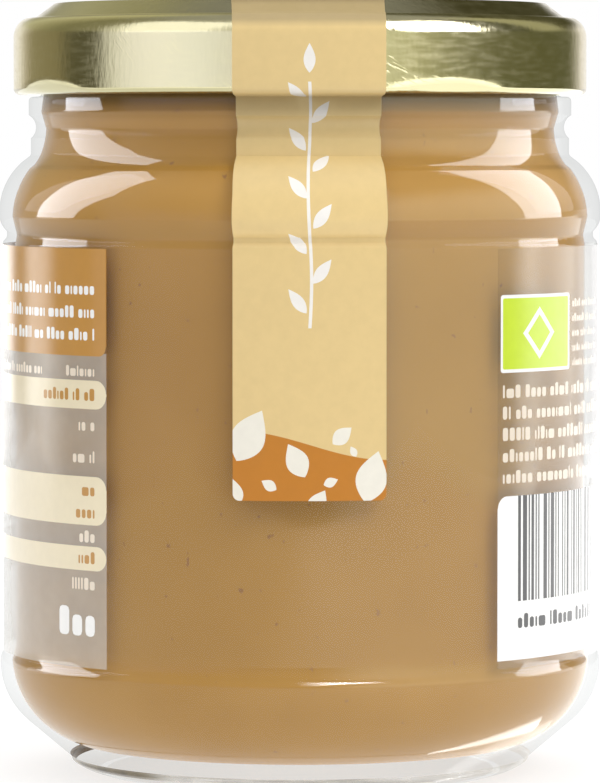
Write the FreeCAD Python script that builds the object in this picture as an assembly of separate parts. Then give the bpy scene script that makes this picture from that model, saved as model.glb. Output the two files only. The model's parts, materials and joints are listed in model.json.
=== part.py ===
import FreeCAD, Part
import math
import os

# A round clear glass jar of almond butter. It has a twist-off metal lid, a paper seal strip
# laid over the lid and down the front, and a clear printed label wrapped round the far side.
# Millimetres, +Z up. The origin is the middle of the foot, on the surface the jar stands on.
# The front, where the strip runs down, faces -Y. Angles are measured from the front
# towards +X.

# Glass, outside: heights are of each section, stacked from the foot up
FOOT_RADIUS_STEP = 7.85  # how far the foot lies inside the widest radius
FOOT_HEIGHT = 1.65
FOOT_TAPER = 0.25  # the foot's band is this much narrower at its lower edge
FOOT_ROUND = 0.95
HEEL_HEIGHT = 10.15  # foot to the lower widest line
HEEL_CURVE = 8.0
HEEL_TURN = 50.0
HEEL_LIP = 1.1  # lower widest line to the label panel
BODY_RADIUS = 32.15  # at both widest lines
PANEL_RECESS = 0.4
PANEL_HEIGHT = 43.7
GROOVE_HEIGHT = 1.1
GROOVE_DEPTH = 0.45  # below the label panel
SHOULDER_LIP = 1.9  # groove to the upper widest line
SHOULDER_HEIGHT = 6.2
SHOULDER_CURVE = 7.3
SHOULDER_TURN = 48.0
BEAD_HEIGHT = 1.8
BEAD_STEP = 0.23  # how far the bead lies inside the neck ring
WAIST_HEIGHT = 2.45
WAIST_DEPTH = 0.65
NECK_RADIUS = 28.95  # the ring just under the lid
NECK_RING_HEIGHT = 1.95
FINISH_STEP = 1.35  # the mouth above the ring is this much smaller in radius
FINISH_HEIGHT = 7.9
RIM_ROUND = 0.5

# Glass, inside
WALL = 2.3
MOUTH_WALL = 2.2
BASE_GLASS = 3.4
PUSH_UP = 1.8  # how high the underside rises inside the foot
FOOT_BEARING = 2.6  # width of the ring that rests on the table
FLOOR_CURVE = 7.0
INNER_NECK_LIFT = 2.3  # the inner neck starts this far above the bead's lower edge
INNER_SHOULDER_SHARE = 0.6  # of the inner shoulder's height curves in, the rest curves back

# Fill
HEADROOM = 5.4  # from the rim down to the almond butter

# Lid
LID_PLAY = 2.6  # radial room between the mouth and the skirt, where the lugs grip
LID_SHEET = 0.35
LID_DROP = 0.4  # the skirt ends this far above the neck ring
LID_CURL = 0.85
LID_SHELF = 0.45  # thickness over the rim
LID_SHOULDER = 1.25
LID_SHELF_WIDTH = 1.05
RING_RISE = 1.55
RING_SLOPE = 2.05
RING_CREST = 0.9
RING_ROUND = 0.18
CENTRE_DROP = 0.5
CENTRE_SLOPE = 0.6

# Seal strip
STRIP_THICKNESS = 0.15
STRIP_HALF_ANGLE = 14.75
STRIP_ANGLE = 1.8  # its middle line, off the front
STRIP_ON_PANEL = 25.6  # how far it reaches down the label panel
STRIP_TAIL = 0.9  # its far end stops this far above the upper widest line
STRIP_CORNER = 0.7

# Label
LABEL_THICKNESS = 0.1
LABEL_MARGIN = 0.25  # from the label to each end of its panel
LABEL_START = 39.6  # right end, seen from the front
LABEL_END = 360 - 38.6  # left end, after running round the back

# Radii and heights that follow
PANEL_RADIUS = BODY_RADIUS - PANEL_RECESS
FOOT_RADIUS = BODY_RADIUS - FOOT_RADIUS_STEP
GROOVE_RADIUS = PANEL_RADIUS - GROOVE_DEPTH
BEAD_RADIUS = NECK_RADIUS - BEAD_STEP
FINISH_RADIUS = NECK_RADIUS - FINISH_STEP
MOUTH_RADIUS = FINISH_RADIUS - MOUTH_WALL
INNER_RADIUS = PANEL_RADIUS - WALL
LID_RADIUS = FINISH_RADIUS + LID_PLAY + LID_SHEET
Z_HEEL_WIDEST = FOOT_HEIGHT + HEEL_HEIGHT
Z_PANEL_LOW = Z_HEEL_WIDEST + HEEL_LIP
Z_PANEL_TOP = Z_PANEL_LOW + PANEL_HEIGHT
Z_GROOVE_TOP = Z_PANEL_TOP + GROOVE_HEIGHT
Z_SHOULDER_WIDEST = Z_GROOVE_TOP + SHOULDER_LIP
Z_BEAD_LOW = Z_SHOULDER_WIDEST + SHOULDER_HEIGHT
Z_BEAD_TOP = Z_BEAD_LOW + BEAD_HEIGHT
Z_NECK_LOW = Z_BEAD_TOP + WAIST_HEIGHT
Z_NECK_TOP = Z_NECK_LOW + NECK_RING_HEIGHT
Z_RIM = Z_NECK_TOP + FINISH_HEIGHT
Z_FLOOR = PUSH_UP + BASE_GLASS
Z_FILL = Z_RIM - HEADROOM
Z_LID_LOW = Z_NECK_TOP + LID_DROP
Z_SHELF = Z_RIM + LID_SHELF
Z_CREST = Z_SHELF + RING_RISE
Z_CENTRE = Z_CREST - CENTRE_DROP
Z_SKIRT_TOP = Z_SHELF - LID_SHOULDER
Z_STRIP_FRONT = Z_PANEL_TOP - STRIP_ON_PANEL
Z_STRIP_BACK = Z_SHOULDER_WIDEST + STRIP_TAIL
QUARTER_BOW = 1 - math.sqrt(0.5)  # rise of a quarter circle's arc over its chord, per radius

CENTRE = FreeCAD.Vector(0, 0, 0)
UP = FreeCAD.Vector(0, 0, 1)


def point(radius, height):
    return FreeCAD.Vector(radius, 0, height)


def section(moves):
    """The flat face inside an outline of moves: (radius, height) goes straight there, and
    (radius, height, bow) goes there by an arc whose middle lies bow to the left of the way."""
    edges = []
    here = moves[0][:2]
    for move in moves[1:] + [moves[0][:2]]:
        end = move[:2]
        run, rise = end[0] - here[0], end[1] - here[1]
        length = math.hypot(run, rise)
        if length < 1e-6:
            continue
        if len(move) == 3 and abs(move[2]) > 1e-6:
            middle = (
                (here[0] + end[0]) / 2 - move[2] * rise / length,
                (here[1] + end[1]) / 2 + move[2] * run / length,
            )
            edges.append(Part.Arc(point(*here), point(*middle), point(*end)).toShape())
        else:
            edges.append(Part.makeLine(point(*here), point(*end)))
        here = end
    return Part.Face(Part.Wire(edges))


def turned(face, start=0.0, sweep=360.0):
    """The face turned about the jar's axis, from the start angle through the sweep."""
    blank = face.copy()
    blank.rotate(CENTRE, UP, start - 90)
    return blank.revolve(CENTRE, UP, sweep)


def rising_bow(reach, depth):
    """Bow of an arc that leaves a line along it and ends at depth off it, reach further on."""
    curve = (reach**2 + depth**2) / (2 * depth)
    return curve * (1 - math.cos(math.asin(reach / curve) / 2))


def turn_bow(curve, turn):
    return curve * (1 - math.cos(math.radians(turn) / 2))


def neck_to_panel():
    """The outside of the glass from the top of the neck ring down to the label panel."""
    turn = math.radians(SHOULDER_TURN)
    return [
        (NECK_RADIUS, Z_NECK_TOP),
        (NECK_RADIUS, Z_NECK_LOW),
        (BEAD_RADIUS, Z_BEAD_TOP, -WAIST_DEPTH),
        (BEAD_RADIUS, Z_BEAD_LOW),
        (
            BODY_RADIUS - SHOULDER_CURVE * (1 - math.cos(turn)),
            Z_SHOULDER_WIDEST + SHOULDER_CURVE * math.sin(turn),
        ),
        (BODY_RADIUS, Z_SHOULDER_WIDEST, turn_bow(SHOULDER_CURVE, SHOULDER_TURN)),
        (GROOVE_RADIUS, Z_GROOVE_TOP, rising_bow(SHOULDER_LIP, BODY_RADIUS - GROOVE_RADIUS)),
        (GROOVE_RADIUS, Z_PANEL_TOP + GROOVE_DEPTH),
        (PANEL_RADIUS, Z_PANEL_TOP),
    ]


def inside(top):
    """The inside of the glass from the middle of its floor up to the given height."""
    neck = Z_BEAD_LOW + INNER_NECK_LIFT
    height, step = neck - Z_SHOULDER_WIDEST, INNER_RADIUS - MOUTH_RADIUS
    low, high = INNER_SHOULDER_SHARE, 1 - INNER_SHOULDER_SHARE
    return [
        (0, Z_FLOOR),
        (INNER_RADIUS - FLOOR_CURVE, Z_FLOOR),
        (INNER_RADIUS, Z_FLOOR + FLOOR_CURVE, -FLOOR_CURVE * QUARTER_BOW),
        (INNER_RADIUS, Z_SHOULDER_WIDEST),
        (MOUTH_RADIUS + high * step, neck - high * height, -rising_bow(low * height, low * step)),
        (MOUTH_RADIUS, neck, rising_bow(high * height, high * step)),
        (MOUTH_RADIUS, top),
    ]


def glass_jar():
    turn = math.radians(HEEL_TURN)
    dome = FOOT_RADIUS - FOOT_ROUND - FOOT_BEARING
    outside = [
        (MOUTH_RADIUS + RIM_ROUND, Z_RIM, RIM_ROUND * QUARTER_BOW),
        (FINISH_RADIUS - RIM_ROUND, Z_RIM),
        (FINISH_RADIUS, Z_RIM - RIM_ROUND, RIM_ROUND * QUARTER_BOW),
        (FINISH_RADIUS, Z_NECK_TOP),
    ]
    lower = [
        (PANEL_RADIUS, Z_PANEL_LOW),
        (BODY_RADIUS, Z_HEEL_WIDEST, rising_bow(HEEL_LIP, PANEL_RECESS)),
        (
            BODY_RADIUS - HEEL_CURVE * (1 - math.cos(turn)),
            Z_HEEL_WIDEST - HEEL_CURVE * math.sin(turn),
            turn_bow(HEEL_CURVE, HEEL_TURN),
        ),
        (FOOT_RADIUS + FOOT_TAPER, FOOT_HEIGHT),
        (FOOT_RADIUS, FOOT_ROUND),
        (FOOT_RADIUS - FOOT_ROUND, 0, FOOT_ROUND * QUARTER_BOW),
        (dome, 0),
        (0, PUSH_UP, -rising_bow(dome, PUSH_UP)),
    ]
    return turned(section(inside(Z_RIM - RIM_ROUND) + outside + neck_to_panel() + lower))


def almond_butter():
    return turned(section(inside(Z_FILL) + [(0, Z_FILL)]))


def lid_outside():
    """The top and skirt of the lid, from its middle out and down to the curl's lowest line."""
    shelf = LID_RADIUS - LID_SHOULDER - LID_SHELF_WIDTH
    crest = shelf - RING_SLOPE
    centre = crest - RING_CREST
    return [
        (0, Z_CENTRE),
        (centre - CENTRE_SLOPE, Z_CENTRE),
        (centre, Z_CREST),
        (crest, Z_CREST, RING_ROUND),
        (shelf, Z_SHELF),
        (LID_RADIUS - LID_SHOULDER, Z_SHELF),
        (LID_RADIUS, Z_SKIRT_TOP, LID_SHOULDER * QUARTER_BOW),
        (LID_RADIUS, Z_LID_LOW + LID_CURL),
        (LID_RADIUS - LID_CURL, Z_LID_LOW, LID_CURL * QUARTER_BOW),
    ]


def lid():
    """One sheet with its lower edge curled inwards. It seats on the rim of the glass."""
    seat = MOUTH_RADIUS - RIM_ROUND
    skirt = LID_RADIUS - LID_SHEET
    under = [
        (LID_RADIUS - 2 * LID_CURL, Z_LID_LOW + LID_CURL, LID_CURL * QUARTER_BOW),
        (skirt, Z_LID_LOW + 2 * LID_CURL, LID_CURL * QUARTER_BOW),
        (skirt, Z_SKIRT_TOP),
        (skirt - (Z_RIM - Z_SKIRT_TOP), Z_RIM),
        (seat, Z_RIM),
        (seat - CENTRE_SLOPE, Z_CENTRE - LID_SHEET),
        (0, Z_CENTRE - LID_SHEET),
    ]
    return turned(section(lid_outside() + under))


def strip_band():
    """The strip's thickness all along the outside of the lid and the glass under it."""
    covered = section(lid_outside() + neck_to_panel() + [(PANEL_RADIUS, 0), (0, 0)])
    return covered.makeOffset2D(STRIP_THICKNESS, 2).cut(covered)


def between(face, low, high):
    """What of the face lies on the right of the axis and between two heights."""
    reach = 2 * BODY_RADIUS
    window = section([(0, low), (reach, low), (reach, high), (0, high)])
    return face.common(window)


def seal_strip():
    band = strip_band()
    sweep = 2 * STRIP_HALF_ANGLE
    width = 2 * LID_RADIUS * math.sin(math.radians(STRIP_HALF_ANGLE))
    length = 4 * LID_RADIUS
    lane = Part.makeBox(width, length, Z_CREST, FreeCAD.Vector(-width / 2, -length / 2, Z_SKIRT_TOP))
    lane.rotate(CENTRE, UP, STRIP_ANGLE)
    top = turned(between(band, Z_SKIRT_TOP, 2 * Z_CREST)).common(lane)
    first = STRIP_ANGLE - STRIP_HALF_ANGLE
    front = turned(between(band, Z_STRIP_FRONT, Z_SKIRT_TOP), first, sweep)
    back = turned(between(band, Z_STRIP_BACK, Z_SKIRT_TOP), first + 180, sweep)
    strip = top.fuse([front, back]).removeSplitter().Solids[0]
    return strip.makeFillet(STRIP_CORNER, end_corners(strip))


def end_corners(strip):
    """The short edges through the strip's thickness at the corners of its two ends."""
    corners = []
    for edge in strip.Edges:
        heights = [vertex.Point.z for vertex in edge.Vertexes]
        short = edge.Length < 2 * STRIP_THICKNESS
        for end in (Z_STRIP_FRONT, Z_STRIP_BACK):
            if short and all(abs(height - end) < 0.2 * STRIP_THICKNESS for height in heights):
                corners.append(edge)
    return corners


def label_film():
    low, high = Z_PANEL_LOW + LABEL_MARGIN, Z_PANEL_TOP - LABEL_MARGIN
    outer = PANEL_RADIUS + LABEL_THICKNESS
    face = section([(PANEL_RADIUS, low), (outer, low), (outer, high), (PANEL_RADIUS, high)])
    return turned(face, LABEL_START, LABEL_END - LABEL_START)


os.makedirs("parts", exist_ok=True)
for make in (glass_jar, almond_butter, lid, seal_strip, label_film):
    make().exportStep(f"parts/{make.__name__}.step")
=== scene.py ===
import json
import math
import random

import bmesh
import bpy
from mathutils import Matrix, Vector, geometry

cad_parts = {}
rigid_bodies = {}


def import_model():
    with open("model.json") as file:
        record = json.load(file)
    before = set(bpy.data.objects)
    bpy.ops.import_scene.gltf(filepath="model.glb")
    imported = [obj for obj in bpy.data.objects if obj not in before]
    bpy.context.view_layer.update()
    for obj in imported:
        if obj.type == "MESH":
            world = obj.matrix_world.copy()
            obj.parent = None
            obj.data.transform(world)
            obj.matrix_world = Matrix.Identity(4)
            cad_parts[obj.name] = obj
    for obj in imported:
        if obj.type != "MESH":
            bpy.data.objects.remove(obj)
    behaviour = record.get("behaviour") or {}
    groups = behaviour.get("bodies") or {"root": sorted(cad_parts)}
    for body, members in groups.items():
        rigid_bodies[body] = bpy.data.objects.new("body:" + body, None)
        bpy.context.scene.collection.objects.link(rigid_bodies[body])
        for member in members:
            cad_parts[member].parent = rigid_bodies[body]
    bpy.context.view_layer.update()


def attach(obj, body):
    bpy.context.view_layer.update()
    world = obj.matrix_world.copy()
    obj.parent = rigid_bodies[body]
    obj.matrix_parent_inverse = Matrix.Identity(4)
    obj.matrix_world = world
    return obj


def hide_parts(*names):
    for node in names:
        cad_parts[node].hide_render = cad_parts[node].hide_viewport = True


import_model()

# Lengths are in millimetres up to the point where a mesh is made, and in metres in the studio.
# The jar stands on z = 0 with its axis on the Z axis. Angles are in degrees from the front,
# which faces -Y, towards +X.
MM = 0.001

# Glass, as in the frame
BODY = 32.143
PANEL = 31.75
GROOVE = 31.3
NECK = 28.95
BEAD = 28.72
FINISH = 27.6
MOUTH = 25.4
INNER = 29.45
FOOT = 24.3
Z_FOOT = 1.65
Z_HEEL = 11.8
Z_PANEL_LOW = 12.9
Z_PANEL_TOP = 56.6
Z_SHOULDER = 59.6
Z_BEAD_LOW = 65.8
Z_BEAD_TOP = 67.6
Z_NECK_LOW = 70.05
Z_NECK_TOP = 72.0
Z_RIM = 79.9
Z_FLOOR = 5.2
PUSH_UP = 1.8

# Lid
LID = 30.55
CURL = 0.68
Z_LID = 72.2
Z_SHELF = 80.35
Z_SKIRT_TOP = Z_SHELF - 1.25
Z_CREST = 81.9
Z_CENTRE = 81.4
RING_EDGE = 26.2  # outer edge of the raised ring's top
SHEET = 0.35

# The four lugs that are pressed into the lid's lower edge
LUG_ANGLE = 30.5
LUG_PRESS = 0.3
LUG_RISE = 1.7  # its upper edge, in its middle, over the lid's lowest line
LUG_FALL = 0.8  # how far that edge drops towards the lug's ends
LUG_SLOPE = 1.4  # the height over which it deepens
LUG_FLAT = 8  # degrees from its middle to where it starts to fade
LUG_END = 17  # degrees from its middle to its end

# Strip
STRIP_LIFT = 0.02
STRIP_THICKNESS = 0.145
STRIP_HALF_ANGLE = 14.75
STRIP_SLIMMER = 0.6  # degrees less at each side, below the shoulder
STRIP_SLIM_TOP = 65.5  # where it starts to get slimmer
STRIP_SLIM_RUN = 3.5
STRIP_ANGLE = 1.8
STRIP_CORNER = 0.7
Z_STRIP_FRONT = 31.0
Z_STRIP_BACK = 60.5
LID_MIDDLE = 10  # inside this radius the strip lies flat and lifts straight up

# Label
LABEL_LIFT = 0.015
LABEL_THICKNESS = 0.1
LABEL_LOW = 13.15
LABEL_HIGH = 56.35
LABEL_START = 39.6
LABEL_END = 360 - 38.6
LEFT_TEXT_END = 360 - 41.5
LEFT_FAR_END = 360 - 118  # where the left group begins, round the side
BACK_HALF = 26  # half the length of the group at the back


# ---------------------------------------------------------------- outlines

def traced(moves, step=6.0):
    """Points along moves: (radius, height) goes straight, (radius, height, bow) by an arc."""
    points = [moves[0][:2]]
    for move in moves[1:]:
        start, end = points[-1], move[:2]
        run, rise = end[0] - start[0], end[1] - start[1]
        length = math.hypot(run, rise)
        if len(move) == 3 and length > 0 and move[2]:
            bow = move[2]
            curve = ((length / 2) ** 2 + bow ** 2) / (2 * abs(bow))
            half = 2 * math.atan(abs(bow) / (length / 2))
            pieces = max(2, math.ceil(math.degrees(2 * half) / step))
            side = 1 if bow > 0 else -1
            for i in range(1, pieces):
                turn = -half + 2 * half * i / pieces
                along = (length / 2 + curve * math.sin(turn)) / length
                out = side * (curve * math.cos(turn) - curve * math.cos(half)) / length
                points.append((start[0] + run * along - rise * out, start[1] + rise * along + run * out))
        points.append(end)
    return points


def rounded(points, radius, limit=12.0):
    """The outline with each corner of more than limit degrees rounded off, and with a point
    close to each end of its straight runs so that shading stays flat there."""
    out = [points[0]]
    for before, corner, after in zip(points, points[1:], points[2:]):
        a = Vector(before) - Vector(corner)
        b = Vector(after) - Vector(corner)
        if a.length < 1e-6 or b.length < 1e-6:
            continue
        turn = 180 - math.degrees(a.angle(b))
        if turn < limit:
            out.append(corner)
            continue
        cut = min(radius * math.tan(math.radians(turn / 2)), 0.4 * a.length, 0.4 * b.length)
        first, last = Vector(corner) + a.normalized() * cut, Vector(corner) + b.normalized() * cut
        if a.length > 6 * cut:
            out.append(tuple(first + a.normalized() * cut * 0.5))
        steps = max(2, round(turn / 15))
        for i in range(steps + 1):
            t = i / steps
            out.append(tuple(first * (1 - t) ** 2 + Vector(corner) * 2 * t * (1 - t) + last * t * t))
        if b.length > 6 * cut:
            out.append(tuple(last + b.normalized() * cut * 0.5))
    return out + [points[-1]]


def neck_to_panel():
    """The outside of the glass from the top of the neck ring down to the label panel."""
    return [
        (NECK, Z_NECK_TOP), (NECK, Z_NECK_LOW), (BEAD, Z_BEAD_TOP, -0.65), (BEAD, Z_BEAD_LOW),
        (29.74, 65.02), (BODY, Z_SHOULDER, 0.63), (GROOVE, 57.7, 0.222), (GROOVE, 57.05),
        (PANEL, Z_PANEL_TOP),
    ]


def glass_outline():
    inside = [
        (0, Z_FLOOR), (INNER - 7, Z_FLOOR), (INNER, Z_FLOOR + 7, -2.05), (INNER, Z_SHOULDER),
        (27.02, 64.7, -0.61), (MOUTH, 68.1, 0.41), (MOUTH, Z_RIM - 0.5),
    ]
    rim = [(MOUTH + 0.5, Z_RIM), (FINISH - 0.5, Z_RIM), (FINISH, Z_RIM - 0.5), (FINISH, Z_NECK_TOP)]
    heel = [(PANEL, Z_PANEL_LOW), (BODY, Z_HEEL, 0.09), (29.29, 5.67, 0.75)]
    foot = [
        (FOOT + 0.95, 2.24), (FOOT + 0.25, Z_FOOT), (FOOT + 0.2, 1.25), (FOOT - 1.7, 0.3, 0.1),
        (FOOT - 2.7, 0), (20.75, 0), (0, PUSH_UP, -0.45),
    ]
    return rounded(traced(inside + rim + neck_to_panel() + heel + foot), 0.5)


def butter_outline():
    """The fill reaches into the wall up to the clear edge that thick glass shows."""
    heel = [(0, 3.2), (24.0, 3.2), (25.4, 3.75), (28.5, 6.1, -0.19), (30.88, 11.95, -0.52)]
    panel = [(30.42, 14.1, 0.13), (30.42, 56.4), (30.25, 57.3)]
    shoulder = [(30.72, 59.3), (29.93, 62.6, -0.17), (28.9, 64.35, -0.06), (28.35, 64.8)]
    neck = [(27.65, 66.0, 0.05), (27.1, 68.6, 0.11), (27.62, 70.4), (27.38, 72.2)]
    top = [(27.38, 73.5), (26.6, 74.5), (0, 74.5)]
    return rounded(traced(heel + panel + shoulder + neck + top), 0.6, 8)


def lid_top():
    """The lid's outside from its middle out and down to the curl's lowest line. The skirt has
    points close together where the lugs bend it."""
    ring = [(0, Z_CENTRE), (24.7, Z_CENTRE), (25.3, Z_CREST), (RING_EDGE, Z_CREST), (28.25, Z_SHELF)]
    shoulder = [
        (LID - 1.3, Z_SHELF - 0.05), (LID - 0.42, Z_SHELF - 0.75, 0.08), (LID, Z_SHELF - 2.15, 0.12),
    ]
    skirt = [(LID, Z_LID + rise) for rise in (2.5, 2.1, 1.7, 1.3, CURL)]
    return ring + shoulder + skirt + [(LID - CURL, Z_LID, CURL * 0.293)]


def lid_outline():
    skirt = LID - SHEET
    under = [
        (LID - 2 * CURL, Z_LID + CURL, CURL * 0.293), (skirt, Z_LID + 2 * CURL, CURL * 0.293),
        (skirt, Z_SKIRT_TOP), (skirt - 0.8, Z_RIM), (MOUTH - 0.5, Z_RIM), (24.3, Z_CENTRE - SHEET),
        (0, Z_CENTRE - SHEET),
    ]
    return rounded(traced(lid_top() + under), 0.22)


# ---------------------------------------------------------------- meshes

def finished(name, bm, materials, replaces):
    """An object from the bmesh, riding on the body. Edges of more than 35 degrees stay sharp."""
    for face in bm.faces:
        face.smooth = True
    for edge in bm.edges:
        edge.smooth = edge.calc_face_angle(0) < math.radians(35)
    mesh = bpy.data.meshes.new(name)
    bm.to_mesh(mesh)
    bm.free()
    for material in materials:
        mesh.materials.append(material)
    piece = bpy.data.objects.new(name, mesh)
    bpy.context.scene.collection.objects.link(piece)
    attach(piece, "root")
    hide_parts(*replaces)
    return piece


def turned(outline, steps=288, zone=lambda radius, height: 0):
    """A closed mesh of revolution from an outline that starts and ends on the axis."""
    bm = bmesh.new()
    rings = []
    for radius, height in outline:
        if radius < 1e-6:
            rings.append([bm.verts.new((0, 0, height * MM))])
            continue
        turns = [2 * math.pi * i / steps for i in range(steps)]
        places = [(radius * math.sin(t), -radius * math.cos(t)) for t in turns]
        rings.append([bm.verts.new((x * MM, y * MM, height * MM)) for x, y in places])
    for (low, high), (start, end) in zip(zip(rings, rings[1:]), zip(outline, outline[1:])):
        middle = (start[0] + end[0]) / 2, (start[1] + end[1]) / 2
        for i in range(steps):
            corners = []
            for ring, step in ((low, i), (low, i + 1), (high, i + 1), (high, i)):
                vert = ring[step % len(ring)]
                if vert not in corners:
                    corners.append(vert)
            if len(corners) > 2:
                bm.faces.new(corners).material_index = zone(*middle)
    bmesh.ops.recalc_face_normals(bm, faces=bm.faces)
    return bm


def diamond(x, y, radius):
    turns = [2 * math.pi * i / 4 for i in range(4)]
    return [(x + radius * math.cos(t), y + radius * math.sin(t)) for t in turns]


def tablet(x0, y0, x1, y1, radius, corners="abcd", points=6):
    """A rectangle with rounded corners: a lower left, b lower right, c upper right, d upper left."""
    radius = min(radius, (x1 - x0) / 2, (y1 - y0) / 2)
    out = []
    for key, cx, cy, start in (("a", x0, y0, 180), ("b", x1, y0, 270), ("c", x1, y1, 0), ("d", x0, y1, 90)):
        if key not in corners:
            out.append((cx, cy))
            continue
        mx = cx + (radius if cx == x0 else -radius)
        my = cy + (radius if cy == y0 else -radius)
        for i in range(points + 1):
            turn = math.radians(start + 90 * i / points)
            out.append((mx + radius * math.cos(turn), my + radius * math.sin(turn)))
    return out


def leaf(x, y, length, width, angle, points=14):
    """A pointed oval from (x, y) outwards at the angle."""
    cos, sin = math.cos(math.radians(angle)), math.sin(math.radians(angle))
    outline = []
    for side in (1, -1):
        for i in range(points):
            t = i / points if side > 0 else 1 - i / points
            out = side * width / 2 * math.sin(math.pi * t ** 0.85)
            outline.append((x + cos * length * t - sin * out, y + sin * length * t + cos * out))
    return outline


def almond(x, y, size, angle):
    """A plump pointed oval round its middle."""
    turn = math.radians(angle)
    return leaf(x - math.cos(turn) * size, y - math.sin(turn) * size, 2 * size, 1.25 * size, angle, 22)


def area(outline):
    """The area inside the outline, above 0 if it runs anticlockwise."""
    return sum(a[0] * b[1] - a[1] * b[0] for a, b in zip(outline, outline[1:] + outline[:1])) / 2


def on_grid(outline, across, along):
    """The outline with a point wherever it crosses a grid line, so that it bends with the sheet."""
    out = []
    for a, b in zip(outline, outline[1:] + outline[:1]):
        shares = [0.0]
        for axis, lines in ((0, across), (1, along)):
            low, high = sorted((a[axis], b[axis]))
            shares += [(x - a[axis]) / (b[axis] - a[axis]) for x in lines if low < x < high]
        for t in sorted(shares):
            point = (a[0] + (b[0] - a[0]) * t, a[1] + (b[1] - a[1]) * t)
            if not out or math.dist(out[-1], point) > 0.01:
                out.append(point)
    return out


def printed(name, sheet, across, along, fields, place, thickness, materials, replaces):
    """A thin closed sheet whose fields are cut into it: each is (outline, material number), later
    ones over earlier ones. across and along are the grid that lets it bend."""
    points, faces = [], []
    for outline in [sheet] + [field[0] for field in fields]:
        outline = on_grid(outline if area(outline) > 0 else outline[::-1], across, along)
        faces.append(list(range(len(points), len(points) + len(outline))))
        points.extend(Vector(p) for p in outline)
    points.extend(Vector((u, v)) for u in across for v in along)
    cut, _, pieces, _, _, sources = geometry.delaunay_2d_cdt(points, [], faces, 0, 1e-4)
    bm = bmesh.new()
    kept = [(piece, max(source)) for piece, source in zip(pieces, sources) if 0 in source]
    used = sorted({i for piece, _ in kept for i in piece})
    top = {i: bm.verts.new(place(cut[i].x, cut[i].y, thickness)) for i in used}
    bottom = {i: bm.verts.new(place(cut[i].x, cut[i].y, 0)) for i in used}
    sides = {}
    for piece, source in kept:
        number = fields[source - 1][1] if source else 0
        bm.faces.new([top[i] for i in piece]).material_index = number
        bm.faces.new([bottom[i] for i in reversed(piece)]).material_index = 0
        for a, b in zip(piece, piece[1:] + piece[:1]):
            key = (min(a, b), max(a, b))
            sides[key] = None if key in sides else (a, b, number)
    for side in sides.values():
        if side:
            a, b, number = side
            bm.faces.new([top[b], top[a], bottom[a], bottom[b]]).material_index = number
    bmesh.ops.recalc_face_normals(bm, faces=bm.faces)
    return finished(name, bm, materials, replaces)


# ---------------------------------------------------------------- materials

def srgb(red, green, blue):
    """A colour written as it looks on a screen, 0 to 255, as the shaders need it."""
    shown = (red, green, blue)
    return tuple(((c / 255 + 0.055) / 1.055) ** 2.4 if c > 10 else c / 3294 for c in shown) + (1,)


def shade(value):
    return (value, value, value, 1)


class Nodes:
    """A node tree with short ways to add and link nodes. A value may be a plain one, an output,
    or a node, which stands for its first output."""

    def __init__(self, tree):
        self.tree = tree
        self.tree.nodes.clear()

    def put(self, value, target):
        if isinstance(value, bpy.types.Node):
            value = value.outputs[0]
        if isinstance(value, bpy.types.NodeSocket):
            self.tree.links.new(value, target)
        else:
            target.default_value = value

    def node(self, kind, **values):
        """A node with its settings and its inputs, which have _ for a space in their names."""
        node = self.tree.nodes.new("ShaderNode" + kind)
        for key, value in values.items():
            if hasattr(node, key):
                setattr(node, key, value)
            else:
                self.put(value, node.inputs[key.replace("_", " ")])
        return node

    def maths(self, operation, *values):
        node = self.node("Math", operation=operation)
        for value, target in zip(values, node.inputs):
            self.put(value, target)
        return node

    def split(self, vector):
        """The X, Y and Z of a vector."""
        return self.node("SeparateXYZ", Vector=vector).outputs

    def spread(self, source, start, end, low=0, high=1, kind="SMOOTHSTEP"):
        """low where the source is at start, high where it is at end, and between them a change
        that is smooth, or even if the kind is LINEAR."""
        return self.node(
            "MapRange", interpolation_type=kind, Value=source,
            From_Min=start, From_Max=end, To_Min=low, To_Max=high,
        )

    def ramp(self, factor, *stops):
        ramp = self.node("ValToRGB", Fac=factor)
        elements = ramp.color_ramp.elements
        while len(elements) < len(stops):
            elements.new(0.5)
        for element, (position, colour) in zip(elements, stops):
            element.position = position
            element.color = colour
        return ramp

    def blend(self, factor, first, second, kind="MIX"):
        """Two colours mixed by the factor."""
        mix = self.node("Mix", data_type="RGBA", blend_type=kind, Factor=factor, A=first, B=second)
        return mix.outputs["Result"]

    def times(self, first, second):
        """Two colours multiplied."""
        return self.blend(1, first, second, "MULTIPLY")

    def joined(self, kind, *shaders, **values):
        """A MixShader or an AddShader of two shaders."""
        node = self.node(kind, **values)
        for shader, target in zip(shaders, list(node.inputs)[-2:]):
            self.put(shader, target)
        return node

    def mixed(self, factor, first, second):
        """Two shaders mixed by the factor."""
        return self.joined("MixShader", first, second, Fac=factor)


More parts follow.
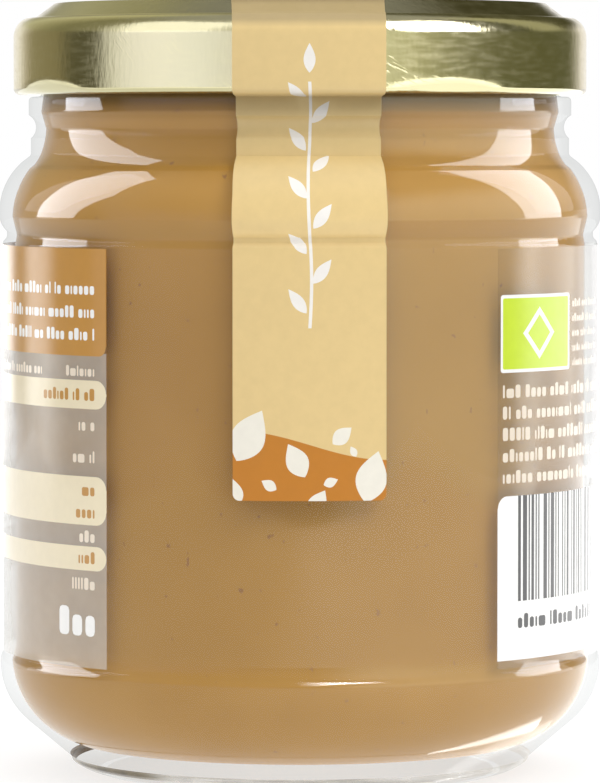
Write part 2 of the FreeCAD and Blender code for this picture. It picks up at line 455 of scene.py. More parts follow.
class Shader(Nodes):
    """A material's node tree."""

    def __init__(self, name):
        self.material = bpy.data.materials.new(name)
        self.material.use_nodes = True
        super().__init__(self.material.node_tree)

    def noise(self, scale, detail=3.0, stretch=(1, 1, 1), turn=None, after=(1, 1, 1)):
        """Noise in the piece's own coordinates, with the scale given per metre. It can be
        stretched, and then turned and stretched again."""
        vector = self.node("Mapping", Scale=stretch, Vector=self.node("TexCoord").outputs["Object"])
        if turn:
            vector = self.node("Mapping", Rotation=turn, Vector=vector)
            vector = self.node("Mapping", Scale=after, Vector=vector)
        return self.node("TexNoise", Scale=scale, Detail=detail, Vector=vector).outputs["Fac"]

    def grain(self, scale, detail, low, high):
        """Noise that goes from one colour to another."""
        return self.ramp(self.noise(scale, detail), (0.3, low), (0.7, high))

    def by_height(self, *stops):
        """A grey that follows the height in millimetres."""
        height = self.split(self.node("TexCoord").outputs["Object"])["Z"]
        share = self.maths("MULTIPLY", height, 1 / (100 * MM))
        return self.ramp(share, *[(height / 100, shade(value)) for height, value in stops])

    def bump(self, height, strength, distance, **values):
        return self.node("Bump", Strength=strength, Distance=distance, Height=height, **values)

    def surface(self, shader):
        """The finished material."""
        self.node("OutputMaterial", Surface=shader)
        return self.material


# Painted shade and light on the fill's colour by height: painted light near the heel and at the
# shoulder, painted shade over the panel, painted shadow under the lid
BUTTER_PAINTED_SHADE = (
    (4, 1.0), (7, 1.05), (10.5, 1.05), (13.5, 1.0), (15, 0.94), (50, 0.92), (56, 0.98), (60, 1.05),
    (63, 1.14), (66, 1.16), (69.4, 1.12), (70.6, 0.85), (71.5, 0.44), (72.3, 0.28),
)


def butter_material():
    """Smooth paste with faint clouds and few specks, wet against the glass, and with painted
    shade and light by height.
    """
    s = Shader("almond_butter_smooth")
    cloud = s.grain(70, 4, srgb(173, 128, 54), srgb(180, 135, 62))
    speck = s.ramp(s.noise(900, 2), (0.70, shade(0)), (0.76, shade(1)))
    colour = s.blend(speck, cloud, srgb(150, 108, 60))
    return s.surface(s.node(
        "BsdfPrincipled", Base_Color=s.times(colour, s.by_height(*BUTTER_PAINTED_SHADE)), Roughness=0.6,
        Specular_IOR_Level=0.1, Coat_Weight=0.7, Coat_Roughness=0.03,
        Normal=s.bump(s.noise(160, 3), 0.25, 0.0006), Coat_Normal=s.bump(s.noise(110, 1), 0.045, 0.0005),
    ))


def clear_material(name, face, edge, gloss, ior, share=1.0):
    """Clear sheet: what is behind shows, darker towards its edges, with a mirror's share over it."""
    s = Shader(name)
    facing = s.node("LayerWeight", Blend=0.25).outputs["Facing"]
    through = s.node("BsdfTransparent", Color=s.ramp(facing, (0.0, face), (1.0, edge)))
    outside = s.maths("SUBTRACT", 1, s.node("NewGeometry").outputs["Backfacing"])
    amount = s.maths("MULTIPLY", s.node("Fresnel", IOR=ior), s.maths("MULTIPLY", outside, share))
    return s.surface(s.mixed(amount, through, s.node("BsdfGlossy", Roughness=gloss)))


def veil_material(name, colour, share):
    """The film where it is printed with a thin grey: partly clear, partly matt."""
    s = Shader(name)
    dark, light = (tuple(c * k for c in colour[:3]) + (1,) for k in (0.96, 1.04))
    veil = s.node(
        "BsdfPrincipled", Base_Color=s.grain(500, 2, dark, light), Roughness=0.5,
        Coat_Weight=0.9, Coat_Roughness=0.1,
    )
    amount = s.grain(60, 2, shade(share - 0.03), shade(share + 0.03))
    return s.surface(s.mixed(amount, s.node("BsdfTransparent"), veil))


def base_glass_material():
    """The thick foot: clear, with painted light and dark streaks for what its curves would bend into
    view, the butter's brown painted on at one side as the thick glass would show it, and a dark
    broken line along its lower edge."""
    s = Shader("glass_foot")
    # Painted refraction: light and dark streaks here, the butter's brown below
    light = s.ramp(
        s.noise(70, 3, (1, 1, 24)), (0.34, srgb(120, 110, 92)), (0.42, srgb(196, 190, 176)),
        (0.5, srgb(250, 250, 248)), (0.6, srgb(226, 222, 212)), (0.68, srgb(140, 130, 110)),
    )
    brown = s.ramp(
        s.noise(60, 3, (1, 1, 20)), (0.35, srgb(96, 84, 58)), (0.55, srgb(140, 128, 102)),
        (0.7, srgb(196, 186, 168)),
    )
    left = s.spread(s.split(s.node("TexCoord").outputs["Object"])["X"], -10 * MM, -17 * MM)
    dashes = s.ramp(s.noise(330, 1, (1, 1, 0.3)), (0.42, shade(0.12)), (0.55, shade(0.9)))
    line = s.blend(s.by_height((1.1, 1), (1.2, 0), (1.45, 0), (1.6, 1)), dashes, shade(1))
    colour = s.times(s.blend(left, light, brown), line)
    streak = s.node("BsdfPrincipled", Base_Color=colour, Roughness=0.25)
    share = s.ramp(s.noise(60, 2, (1, 1, 18)), (0.35, shade(0.2)), (0.65, shade(0.6)))
    through = s.node("BsdfTransparent", Color=(0.95, 0.95, 0.93, 1))
    return s.surface(s.mixed(s.maths("MAXIMUM", share, left), through, streak))


def lid_material(name, painted_dimming=1.0):
    """Gold lacquer on sheet metal, finely scratched, with painted shade where it turns down to its
    lower edge and over all of it as far as painted_dimming is under 1.
    """
    s = Shader(name)
    colour = s.grain(60, 4, srgb(226, 219, 170), srgb(232, 224, 178))
    facing_up = s.split(s.node("NewGeometry").outputs["Normal"])["Z"]
    # Painted shade: darker where the faces turn downwards, and by painted_dimming everywhere
    painted_shade_factor = s.spread(facing_up, -0.25, -0.02, 0.55, painted_dimming, "LINEAR")
    rough = s.ramp(s.noise(1400, 2, (0.35, 0.35, 1.6)), (0.35, shade(0.13)), (0.65, shade(0.21)))
    fine = s.bump(s.noise(2200, 2, (1, 1, 0.3)), 0.08, 0.0002)
    where = s.ramp(s.noise(90, 2), (0.54, shade(0)), (0.66, shade(1)))
    lines = s.noise(700, 1, turn=(0, 0.9, 0.5), after=(9, 1, 0.5))
    scratches = s.times(where, s.ramp(lines, (0.62, shade(0)), (0.68, shade(1))))
    return s.surface(s.node(
        "BsdfPrincipled", Base_Color=s.times(colour, painted_shade_factor), Metallic=1.0, Roughness=rough, IOR=1.5,
        Coat_Weight=0.35, Coat_Roughness=0.06, Normal=s.bump(scratches, 0.15, 0.0001, Normal=fine),
    ))


def ink_material(name, colour, roughness=0.42, coat=0.0, painted_shading=()):
    """Printed paper or ink: nearly even, with a fine grain, under a film's gloss where coat is
    given, and with painted shade and light by height where painted_shading is given."""
    s = Shader(name)
    light = tuple(min(1, c * 1.02) for c in colour[:3]) + (1,)
    dark = tuple(c * 0.98 for c in colour[:3]) + (1,)
    even = s.grain(900, 3, dark, light)
    return s.surface(s.node(
        "BsdfPrincipled", Base_Color=s.times(even, s.by_height(*painted_shading)) if painted_shading else even,
        Roughness=s.grain(500, 2, shade(roughness), shade(roughness + 0.1)),
        Coat_Weight=coat, Coat_Roughness=0.1, Normal=s.bump(s.noise(1500, 2), 0.05, 0.0002),
    ))


# ---------------------------------------------------------------- jar, butter and lid

def foot_wall(radius, height):
    """1 on the outer wall of the foot, which shows streaks."""
    return 1 if height < 2.2 and FOOT - 0.4 < radius < FOOT + 0.4 else 0


def ring_side(radius, height):
    """1 on the outer side of the lid's raised ring, which gets the lacquer darkened as painted shade."""
    return 1 if height > Z_SHELF + 0.1 and radius > RING_EDGE - 0.1 else 0


def make_jar():
    wall = clear_material("glass_wall", (0.985, 0.985, 0.98, 1), (0.82, 0.83, 0.83, 1), 0.02, 1.5, 0.15)
    bm = turned(glass_outline(), zone=foot_wall)
    finished("jar_glass", bm, [wall, base_glass_material()], ["glass_jar"])


def make_butter():
    finished("butter_fill", turned(butter_outline()), [butter_material()], ["almond_butter"])


def eased(value, start, end):
    """0 before start, 1 after end and smooth between."""
    t = min(max((value - start) / (end - start), 0), 1)
    return t * t * (3 - 2 * t)


def lug_press(angle, height):
    """How far the lid's skirt is pressed in: at four places along its lower edge."""
    off = abs((angle - LUG_ANGLE + 45) % 90 - 45)
    crest = Z_LID + LUG_RISE - LUG_FALL * eased(off, 0, LUG_END - 1)
    return LUG_PRESS * eased(crest - height, 0, LUG_SLOPE) * (1 - eased(off, LUG_FLAT, LUG_END))


def make_lid():
    bm = turned(lid_outline(), 360, ring_side)
    for vert in bm.verts:
        radius, height = math.hypot(vert.co.x, vert.co.y), vert.co.z / MM
        if radius / MM < LID - 2 * CURL - 0.1 or height > Z_LID + 3:
            continue
        angle = math.degrees(math.atan2(vert.co.x, -vert.co.y))
        closer = 1 - lug_press(angle, height) * MM / radius
        vert.co.x *= closer
        vert.co.y *= closer
    # The ring's outer side takes a copy of the lacquer darkened as painted shade
    metals = [lid_material("lid_gold_lacquer"), lid_material("lid_gold_ring_side", 0.68)]
    finished("lid_sheet", bm, metals, ["lid"])


# ---------------------------------------------------------------- seal strip

PAPER, ORANGE, PALE, MOTIF = range(4)

# Painted shade and light on the paper by height: painted light over the shoulder, painted shadow
# on the neck under the lid's edge, painted shade where it lies over the lid's top
STRIP_PAINTED_SHADE = (
    (57.2, 1.0), (58.2, 1.07), (60, 1.06), (62, 1.02), (64.5, 0.98), (66, 0.94), (69, 0.8), (70.6, 0.62),
    (72.0, 0.55), (72.4, 0.97), (78.9, 1.0), (79.3, 0.8), (79.65, 0.6), (80.05, 0.55), (81.3, 0.54),
    (81.7, 0.43), (82, 0.42),
)


def strip_path():
    """The strip's way from its front end up, over the lid and down behind: signed radius, with
    minus at the front, height, and the outward normal's share along each."""
    down = rounded(traced(lid_top()[1:] + neck_to_panel() + [(PANEL, Z_STRIP_FRONT)]), 0.12)
    front = [(-radius, height) for radius, height in reversed(down)]
    middle = [(side, Z_CENTRE) for side in (-20, -14, -10, -6, -2, 2, 6, 10, 14, 20)]
    back = [point for point in down if point[1] > Z_STRIP_BACK]
    path = front + middle + back
    runs = [Vector(b) - Vector(a) for a, b in zip(path, path[1:])]
    out = []
    for i, (radius, height) in enumerate(path):
        before, after = runs[max(0, i - 1)].normalized(), runs[min(i, len(runs) - 1)].normalized()
        run = (before + after).normalized()
        out.append((radius, height, -run.y, run.x))
    return out


def laid_along(path, lengths, half_width):
    """The function that lays a point of the flat strip on the path. Its width is an angle on the
    glass and a straight lane over the lid."""
    lane = LID * math.sin(math.radians(STRIP_HALF_ANGLE))
    cos, sin = math.cos(math.radians(STRIP_ANGLE)), math.sin(math.radians(STRIP_ANGLE))

    def place(u, v, lift):
        v = min(max(v, 0), lengths[-1])
        i = max(j for j in range(len(path) - 1) if lengths[j] <= v)
        t = (v - lengths[i]) / (lengths[i + 1] - lengths[i])
        radius, height, out, up = (a + (b - a) * t for a, b in zip(path[i], path[i + 1]))
        side = 1 if radius > 0 else -1
        lift += STRIP_LIFT
        share = u / half_width
        if height < Z_SKIRT_TOP:
            slim = min(max((STRIP_SLIM_TOP - height) / STRIP_SLIM_RUN, 0), 1) * STRIP_SLIMMER
            angle = math.radians(share * (STRIP_HALF_ANGLE - slim))
            x, y = abs(radius) * math.sin(angle), side * abs(radius) * math.cos(angle)
        else:
            x = share * lane
            reach = max(abs(radius), LID_MIDDLE)
            y = radius / reach * math.sqrt(reach ** 2 - x ** 2)
        away = Vector((x, y)).normalized() if abs(radius) > LID_MIDDLE else Vector((0, side))
        grow = out * lift * side
        x, y, z = x + away.x * grow, y + away.y * grow, height + up * lift
        return ((x * cos - y * sin) * MM, (x * sin + y * cos) * MM, z * MM)

    return place


def strip_fields(half_width):
    """A wavy orange end with pale almonds, and a sprig of leaves above it."""
    wave = [(half_width * 1.2 * i / 12, 5.6 + 1.5 * math.cos(1.9 * (i / 12 + 0.8))) for i in range(-12, 13)]
    fields = [([(-9.6, -1), (9.6, -1)] + wave[::-1], ORANGE)]
    almonds = (
        (-6.4, 6.6, 2.9, 62), (-1.4, 4.1, 1.9, 118), (3.4, 6.6, 1.3, 40), (6.6, 2.4, 2.7, 75),
        (2.2, 1.9, 0.8, 20), (-4.3, 1.6, 0.9, 150), (-8.0, 0.8, 1.5, 100), (4.6, 5.0, 0.6, 120),
        (0.8, -0.3, 1.6, 60),
    )
    fields += [(almond(x, y, size, angle), PALE) for x, y, size, angle in almonds]
    stem = [(0.18 * math.sin(i / 3.0), 17.5 + i) for i in range(0, 29)]
    fields.append(([(x - 0.17, y) for x, y in stem] + [(x + 0.17, y) for x, y in reversed(stem)], MOTIF))
    for i in range(9):
        side = 1 if i % 2 else -1
        fields.append((leaf(side * 0.35, 19.0 + 3.0 * i, 3.1, 1.25, 90 - side * 38), MOTIF))
    fields.append((leaf(0, 46.4, 3.0, 1.25, 90), MOTIF))
    return fields


def make_strip():
    path = strip_path()
    lengths = [0.0]
    for a, b in zip(path, path[1:]):
        lengths.append(lengths[-1] + math.hypot(b[0] - a[0], b[1] - a[1]))
    half_width = PANEL * math.radians(STRIP_HALF_ANGLE)
    sheet = tablet(-half_width, 0, half_width, lengths[-1], STRIP_CORNER)
    across = [half_width * (i / 9 - 1) for i in range(1, 18)]
    along = [2.0 * i for i in range(1, 12)]
    for length in lengths[1:-1]:
        if length - along[-1] > 0.12:
            along.append(length)
    materials = [
        # The cream paper and the motif take painted shade and light by height
        ink_material("strip_paper_cream", srgb(227, 199, 139), painted_shading=STRIP_PAINTED_SHADE),
        ink_material("strip_print_orange", srgb(192, 122, 28)),
        ink_material("strip_print_pale", srgb(241, 236, 222)),
        ink_material("strip_print_motif", srgb(244, 240, 234), painted_shading=STRIP_PAINTED_SHADE),
    ]
    printed(
        "strip_paper", sheet, across, along, strip_fields(half_width), laid_along(path, lengths, half_width),
        STRIP_THICKNESS - STRIP_LIFT, materials, ["seal_strip"],
    )


# ---------------------------------------------------------------- label

CLEAR, AMBER, CREAM, WHITE, GREEN, DARK, TEXT, ALMOND, VEIL = range(9)

LABEL_INKS = (
    ("amber", (193, 138, 52)), ("cream", (240, 226, 192)), ("white", (250, 249, 246)),
    ("green", (204, 230, 36)), ("dark", (38, 38, 40)), ("text", (238, 224, 204)), ("almond", (150, 98, 48)),
)


def around(angle):
    """Distance along the label from the front to an angle."""
    return math.radians(angle) * PANEL


def words(fields, number, start, end, height, size, seed, right=False):
    """A row of small blocks in word-like groups between two places along the label."""
    rng = random.Random(seed)
    blocks, x = [], start
    while x < end:
        for _ in range(rng.randint(2, 8)):
            tall = size * rng.choice((0.72, 0.72, 0.72, 0.72, 1.0, 1.0))
            wide = size * rng.choice((0.2, 0.45, 0.5, 0.5, 0.55, 0.8 if tall < size else 0.2))
            if x + wide > end:
                break
            blocks.append((x, wide, tall))
            x += wide + size * 0.17
        x += size * 0.42
    shift = end - (blocks[-1][0] + blocks[-1][1]) if right and blocks else 0
    for x, wide, tall in blocks:
        outline = tablet(x + shift, height, x + shift + wide, height + tall, size * 0.16, points=2)
        fields.append((outline, number))


def left_group():
    """What shows of the label at the jar's left: it ends at the label's left end."""
    end = around(LABEL_END)
    text_end = around(LEFT_TEXT_END)
    far = around(LEFT_FAR_END)
    fields = [(tablet(far, LABEL_LOW - 1, end + 1, 45.6, 1.0, ""), VEIL)]
    fields.append((tablet(far, 45.3, end, LABEL_HIGH + 1, 1.0, "b"), AMBER))
    for row, height in enumerate((51.6, 49.2, 46.9)):
        words(fields, WHITE, far + 3, text_end, height, 1.25, 10 + row, True)
    words(fields, TEXT, text_end - 5.2, text_end, 43.2, 1.1, 20, True)
    words(fields, TEXT, far + 3, text_end - 8, 43.2, 1.1, 21)
    for low, high in ((39.85, 42.8), (27.9, 32.9), (23.2, 25.7)):
        fields.append((tablet(far, low, end, high, 1.35), CREAM))
    rows = (
        (40.7, AMBER, 9.5), (37.6, TEXT, 2.6), (34.3, TEXT, 3.3), (30.9, AMBER, 2.6), (28.6, AMBER, 3.3),
        (26.1, TEXT, 2.6), (23.9, AMBER, 2.6), (21.2, TEXT, 4.0),
    )
    for row, (height, number, width) in enumerate(rows):
        words(fields, number, text_end - width, text_end, height, 1.25, 30 + row, True)
        words(fields, number, far + 2, far + 22 - width, height, 1.25, 50 + row)
    words(fields, WHITE, text_end - 6.6, text_end, 16.4, 3.0, 71, True)
    return fields


def right_group():
    """What shows of the label at the jar's right: it begins at the label's right end."""
    start = around(LABEL_START)
    text = around(LABEL_START + 1.2)
    low, high = 43.6, 51.6
    fields = [(tablet(start + 0.35, low, start + 12.3, high, 0.3), WHITE)]
    fields.append((tablet(start + 0.65, low + 0.35, start + 11.95, high - 0.35, 0.2), GREEN))
    fields.append((diamond(start + 6.3, (low + high) / 2, 2.7), WHITE))
    fields.append((diamond(start + 6.3, (low + high) / 2, 1.9), GREEN))
    for row in range(5):
        words(fields, TEXT, start + 13, start + 22, high - 1.5 - 1.55 * row, 0.85, 80 + row)
    for row in range(5):
        words(fields, TEXT, text, text + 29, 41.0 - 2.2 * row, 1.35, 90 + row)
    fields.append((tablet(start, 13.95, start + 34, 30.9, 1.25, "bcd"), WHITE))
    rng = random.Random(7)
    x = start + 2.9
    while x < start + 31:
        wide = rng.choice((0.22, 0.22, 0.44, 0.66))
        fields.append((tablet(x, 20.0, x + wide, 30.9, 0.0, ""), DARK))
        x += wide + rng.choice((0.24, 0.3, 0.48, 0.7))
    words(fields, DARK, start + 2.9, start + 31, 17.2, 1.5, 99)
    return fields


def far_group():
    """The label's main field, on the side away from the strip: a cream oval with almonds."""
    middle = around(180)
    fields = []
    steps = range(-BACK_HALF, BACK_HALF + 1)
    wave = [(middle + 1.0 * i, 22.0 + 2.2 * math.sin(i / 7.0)) for i in steps]
    corners = [(middle - BACK_HALF, LABEL_LOW - 1), (middle + BACK_HALF, LABEL_LOW - 1)]
    fields.append((corners + wave[::-1], AMBER))
    turns = [2 * math.pi * i / 96 for i in range(96)]
    oval = [(middle + 19 * math.cos(turn), 37.5 + 15.5 * math.sin(turn)) for turn in turns]
    fields.append((oval, CREAM))
    for x, y, angle in ((-7, 33, 62), (0.5, 31.5, 90), (8, 33, 118)):
        fields.append((leaf(middle + x, y, 10.5, 5.4, angle, 24), ALMOND))
        fields.append((leaf(middle + x, y + 2.0, 6.0, 0.7, angle, 12), CREAM))
    for i in range(2):
        words(fields, ALMOND, middle - 9 + 2 * i, middle + 9 - 2 * i, 28.2 - 2.4 * i, 1.5, 110 + i)
    almonds = (
        (-21, 17.4, 2.2, 60), (-15, 16, 1.1, 130), (-9, 18, 1.6, 95), (1, 17, 1.2, 50), (10, 17.8, 2.0, 120),
        (17, 16, 1.0, 30), (22, 18.4, 2.4, 80),
    )
    for x, y, size, angle in almonds:
        fields.append((almond(middle + x, y, size, angle), CREAM))
    return fields


def make_label():
    fields = left_group() + right_group() + far_group()

    def place(u, v, lift):
        radius = PANEL + LABEL_LIFT + lift
        angle = u / PANEL
        return (radius * math.sin(angle) * MM, -radius * math.cos(angle) * MM, v * MM)

    start, end = around(LABEL_START), around(LABEL_END)
    sheet = tablet(start, LABEL_LOW, end, LABEL_HIGH, 0.0, "")
    count = round((LABEL_END - LABEL_START) / 2)
    across = [start + (end - start) * i / count for i in range(1, count)]
    along = [LABEL_LOW + (LABEL_HIGH - LABEL_LOW) * i / 14 for i in range(1, 14)]
    film = clear_material("label_clear_film", (0.975, 0.97, 0.965, 1), (0.86, 0.86, 0.86, 1), 0.12, 1.45)
    inks = [ink_material("label_print_" + name, srgb(*colour), 0.45, 0.9) for name, colour in LABEL_INKS]
    grey = veil_material("label_grey_film", srgb(226, 216, 202), 0.42)
    wrap = printed(
        "label_wrap", sheet, across, along, fields, place, LABEL_THICKNESS - LABEL_LIFT,
        [film, *inks, grey], ["label_film"],
    )
    # The photo shows no mirror image of the print in the butter beside it
    wrap.visible_glossy = False


# ---------------------------------------------------------------- studio

EYE_DISTANCE = 0.56
EYE_HEIGHT = 0.069
LOOK_DOWN = 2.915
SENSOR = 36
LENS = 240.6
LAMP_DISTANCE = 1.7
LAMP_AIM = 0.04
DAYLIGHT = (0.97, 1, 1.08)
COOL = (1, 1, 1.25)

FLOOR_MATT = 0.25
FLOOR_GLOW = 0.78
FLOOR_BOUNCE = 0.78

# A painted glow on the floor, seen only in mirrors, for light that the jar gathers there: how
# bright, from which angle and radius to which, how wide at each, in millimetres, and how quickly
# its edges fade
GLINT = 6.0
GLINT_TURN = (38, 84)
GLINT_RADIUS = (23.4, 31.0)
GLINT_WIDTH = (0.5, 3.1)
GLINT_EDGE = 1.6
# How bright the floor's painted glow for mirrors is besides, to the left and to the right, and
# how far out that changes
GLEAM = (0.35, 1.2)
GLEAM_REACH = 0.06

# Where the upper surroundings take over from the lower, and the ceiling from them, as sines of
# the angle up
UPPER = (0.12, 0.3)
CEILING = (0.75, 0.93)
CEILING_GLOW = 0.32

# What mirrors see round the jar at its own height: angle from the front and how bright
AROUND_LOW = (
    (-180, (1.05, 1.03, 1.0)), (-152, (0.9, 0.86, 0.83)), (-143, (0.5, 0.45, 0.38)),
    (-136, (0.3, 0.27, 0.18)), (-113, (0.25, 0.22, 0.14)), (-104, (0.1, 0.095, 0.06)),
    (-89, (0.09, 0.085, 0.055)), (-81, (0.78, 0.78, 0.88)), (-74, (0.98, 0.98, 1.2)),
    (-58, (1.12, 1.12, 1.4)), (-40, (1.03, 1.05, 1.3)), (-20, (0.8, 0.8, 0.92)),
    (20, (0.66, 0.66, 0.56)), (37, (0.66, 0.66, 0.54)), (46, (0.46, 0.46, 0.32)),
    (64, (0.25, 0.25, 0.16)), (84, (0.15, 0.15, 0.09)), (110, (0.12, 0.12, 0.065)),
    (137, (0.12, 0.12, 0.065)), (146, (0.42, 0.4, 0.36)), (155, (0.95, 0.9, 0.9)),
    (180, (1.05, 1.03, 1.0)),
)
# The same further up
AROUND_HIGH = (
    (-180, (0.15, 0.14, 0.09)), (-168, (0.35, 0.33, 0.22)), (-156, (0.55, 0.53, 0.36)),
    (-140, (0.4, 0.38, 0.25)), (-118, (0.22, 0.21, 0.13)), (-92, (0.25, 0.24, 0.17)),
    (-84, (0.7, 0.7, 0.7)), (-30, (0.7, 0.7, 0.7)), (30, (0.5, 0.5, 0.45)), (75, (0.34, 0.34, 0.25)),
    (88, (0.09, 0.09, 0.05)), (107, (0.09, 0.09, 0.05)), (114, (0.4, 0.39, 0.27)),
    (132, (0.4, 0.39, 0.27)), (141, (0.075, 0.07, 0.03)), (180, (0.07, 0.065, 0.03)),
)
# What lights matt faces: from straight down (0) over level (0.5) to straight up (1)
SOFT_LIGHT = ((0.0, 0.9), (0.49, 0.9), (0.52, 0.15), (0.68, 0.22), (0.8, 0.75), (0.9, 1.25), (0.98, 2.6))


def make_camera():
    data = bpy.data.cameras.new("camera")
    data.sensor_width = SENSOR
    data.lens = LENS
    data.clip_start = 0.01
    camera = bpy.data.objects.new("camera", data)
    camera.location = (0, -EYE_DISTANCE, EYE_HEIGHT)
    camera.rotation_euler = (math.radians(90 - LOOK_DOWN), 0, 0)
    bpy.context.scene.collection.objects.link(camera)
    bpy.context.scene.camera = camera


def softbox(name, turns, heights, radiance, matt=False, mirror=True, colour=(1, 1, 1)):
    """A rectangular lamp that faces the jar and spans two angles round it and two angles up.
    Its strength is given as how bright it looks."""
    turn, rise = (math.radians((span[0] + span[1]) / 2) for span in (turns, heights))
    half_turn, half_rise = (math.radians((span[1] - span[0]) / 2) for span in (turns, heights))
    data = bpy.data.lights.new(name, "AREA")
    data.shape = "RECTANGLE"
    data.color = colour
    data.size = 2 * LAMP_DISTANCE * math.tan(half_turn) * math.cos(rise)
    data.size_y = 2 * LAMP_DISTANCE * math.tan(half_rise)
    data.energy = radiance * math.pi * data.size * data.size_y
    lamp = bpy.data.objects.new(name, data)
    flat, up = LAMP_DISTANCE * math.cos(rise), LAMP_DISTANCE * math.sin(rise)
    centre = Vector((0, 0, LAMP_AIM))
    lamp.location = centre + Vector((flat * math.sin(turn), -flat * math.cos(turn), up))
    lamp.rotation_euler = (centre - lamp.location).to_track_quat("-Z", "Y").to_euler()
    lamp.visible_camera = False
    lamp.visible_diffuse = matt
    lamp.visible_glossy = mirror
    bpy.context.scene.collection.objects.link(lamp)
    return lamp


def collected(name, wanted):
    """A collection of the meshes whose name is wanted."""
    collection = bpy.data.collections.new(name)
    for piece in bpy.data.objects:
        if piece.type == "MESH" and wanted(piece.name):
            collection.objects.link(piece)
    return collection


def let_through(lamp, names):
    """Lets a lamp's light pass the pieces whose names start with one of the names."""
    others = collected(lamp.name + "_stopped_by", lambda name: not name.startswith(names))
    lamp.light_linking.blocker_collection = others


def window(name, turns, heights, radiance, pieces, side, top=0, lean=0, width=1, colour=(1, 1, 1)):
    """A softbox that only the pieces mirror whose names start with one of the given ones. It fades
    over a share of its width at each side, and of its height at its top. It may cover a part of
    the width only, which leans over by a share of the width from the low end to the high end."""
    lamp = softbox(name, turns, heights, radiance, colour=colour)
    seen_by = collected(name + "_sees", lambda piece: piece.startswith(pieces))
    lamp.light_linking.receiver_collection = seen_by
    lamp.data.use_nodes = True
    s = Nodes(lamp.data.node_tree)
    place = s.split(s.node("NewGeometry").outputs["Parametric"])
    across = s.maths("SUBTRACT", place["X"], s.maths("MULTIPLY", place["Y"], lean))
    share = s.maths("MULTIPLY", s.spread(across, 0, side), s.spread(across, width, width - side))
    if top:
        share = s.maths("MULTIPLY", share, s.spread(place["Y"], 1, 1 - top))
    s.node("OutputLight", Surface=s.node("Emission", Strength=share))
    return lamp


def make_lamps():
    """Windows at both sides, which only the glass and what is in it mirror, others that only the
    lid mirrors, and two soft lamps."""
    lid, label, contents = ("lid_",), ("label_wrap",), ("jar_", "butter_")
    window("left_window", (-134, -86), (3, 52), 8.5, contents, 0.03, lean=0.62, width=0.69, colour=DAYLIGHT)
    window("left_strip", (-134, -104), (-9, 3), 2.8, contents + label, 0.4)
    window("left_edge", (-178, -138), (-9, 3), 1.7, label, 0.3)
    window("right_window", (96, 132), (3, 60), 8.2, contents, 0.03, colour=DAYLIGHT)
    window("right_strip", (92, 114), (-9, 3), 2.0, contents, 0.4)
    window("right_veil", (86, 152), (-9, 3), 2.5, contents + label, 0.3)
    window("right_edge", (138, 178), (-9, 3), 0.7, label, 0.3)
    haze = window("right_haze", (4, 122), (-14, 44), 2.3, contents, 0.35, 0.4, colour=(0.94, 1.06, 1.0))
    window("front_glint", (-4, 42), (31.5, 46), 42.0, contents, 0.6)
    window("lid_left", (-84, -28), (10, 56), 0.6, lid, 0.15, colour=COOL)
    window("lid_right", (36, 82), (14, 56), 9.0, lid, 0.15, colour=COOL)
    key = softbox("key", (35, 65), (38, 62), 6.9, matt=True, mirror=False)
    softbox("fill", (-60, -30), (38, 62), 1.2, matt=True, mirror=False)
    # The photo shows no shadow of the label on the butter beside it
    for lamp in (haze, key):
        let_through(lamp, ("label_",))


def make_world():
    """White for the eye, even soft light for matt faces, and painted surroundings for mirrors."""
    world = bpy.data.worlds.new("studio")
    world.use_nodes = True
    s = Nodes(world.node_tree)
    white = shade(1)
    way = s.split(s.node("TexCoord").outputs["Generated"])
    angle = s.maths("ARCTAN2", way["X"], s.maths("MULTIPLY", way["Y"], -1))
    share = s.maths("MULTIPLY_ADD", angle, 1 / (2 * math.pi), 0.5)
    rings = [
        s.ramp(share, *[(turn / 360 + 0.5, colour + (1,)) for turn, colour in ring])
        for ring in (AROUND_LOW, AROUND_HIGH)
    ]
    painted = s.node("Background", Color=s.blend(s.spread(way["Z"], *UPPER), *rings))
    ceiling = s.node("Background", Color=white, Strength=CEILING_GLOW)
    mirrored = s.mixed(s.spread(way["Z"], *CEILING), painted, ceiling)
    above = s.ramp(
        s.spread(way["Z"], -1, 1, kind="LINEAR"), *[(height, shade(value)) for height, value in SOFT_LIGHT]
    )
    path = s.node("LightPath").outputs
    lit = s.mixed(path["Is Glossy Ray"], s.node("Background", Color=above), mirrored)
    shown = s.maths("MAXIMUM", path["Is Camera Ray"], path["Is Transmission Ray"])
    s.node("OutputWorld", Surface=s.mixed(shown, lit, s.node("Background", Color=white)))
    bpy.context.scene.world = world


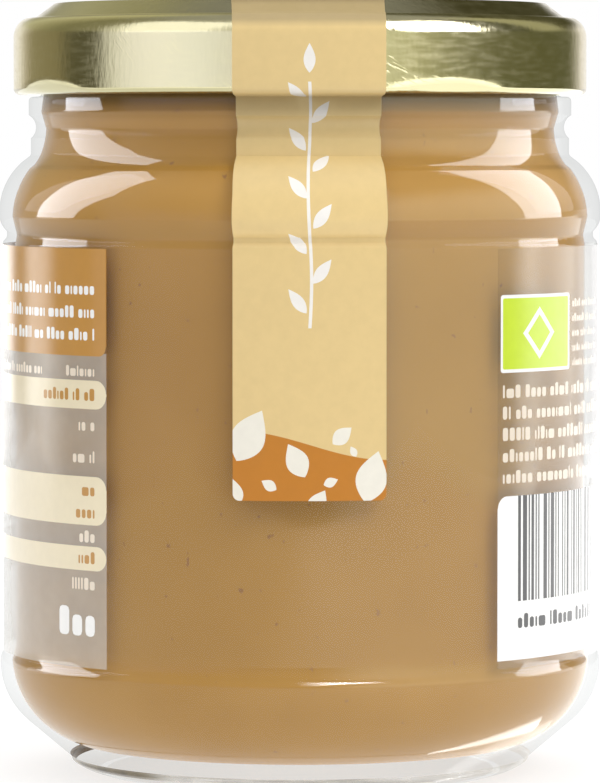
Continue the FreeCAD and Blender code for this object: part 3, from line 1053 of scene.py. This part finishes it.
def glint_shape(s):
    """A painted glow where light gathered by the jar would fall close to its foot at the right, as the
    heel mirrors it: a band that starts thin at one angle and grows wider and further out towards
    another. A painted gleam that grows towards the right is added."""
    place = s.split(s.node("NewGeometry").outputs["Position"])
    x, y = place["X"], place["Y"]
    radius = s.maths("SQRT", s.maths("ADD", s.maths("MULTIPLY", x, x), s.maths("MULTIPLY", y, y)))
    angle = s.maths("ARCTAN2", x, s.maths("MULTIPLY", y, -1))
    start, end = (math.radians(turn) for turn in GLINT_TURN)
    share = s.maths("DIVIDE", s.maths("SUBTRACT", angle, start), end - start)
    middle, width = (
        s.maths("ADD", s.maths("MULTIPLY", share, (last - first) * MM), first * MM)
        for first, last in (GLINT_RADIUS, GLINT_WIDTH)
    )
    off = s.maths("DIVIDE", s.maths("ABSOLUTE", s.maths("SUBTRACT", radius, middle)), width)
    inside = s.maths("MINIMUM", s.maths("MULTIPLY", s.maths("SUBTRACT", 1, off), GLINT_EDGE), 1)
    ends = s.maths("MULTIPLY", s.maths("GREATER_THAN", share, 0), s.maths("LESS_THAN", share, 1))
    band = s.maths("MULTIPLY", s.maths("MULTIPLY", s.maths("MAXIMUM", inside, 0), ends), GLINT)
    return s.maths("ADD", band, s.spread(x, -GLEAM_REACH, GLEAM_REACH, *GLEAM))


def make_floor():
    """White to the eye with the jar's shadow kept, and matt white for the light it throws back."""
    bpy.ops.mesh.primitive_grid_add(x_subdivisions=4, y_subdivisions=4, size=1.0)
    floor = bpy.context.object
    floor.name = "floor"
    s = Shader("floor_white")
    path = s.node("LightPath").outputs
    seen = path["Is Camera Ray"]
    for kind in ("Is Glossy Ray", "Is Transmission Ray"):
        seen = s.maths("MAXIMUM", seen, path[kind])
    matt = s.node("BsdfDiffuse", Color=shade(FLOOR_MATT))
    glow = s.node("Emission", Strength=s.spread(seen, 0, 1, FLOOR_BOUNCE, FLOOR_GLOW, "LINEAR"))
    # Painted glow that only mirrors see: the glint by the foot and the gleam
    glint = s.node("Emission", Strength=s.maths("MULTIPLY", path["Is Glossy Ray"], glint_shape(s)))
    light = s.joined("AddShader", s.joined("AddShader", matt, glow), glint)
    floor.data.materials.append(s.surface(light))


make_jar()
make_butter()
make_lid()
make_strip()
make_label()
make_floor()
make_world()
make_lamps()
make_camera()
bpy.context.scene.view_settings.view_transform = "Standard"
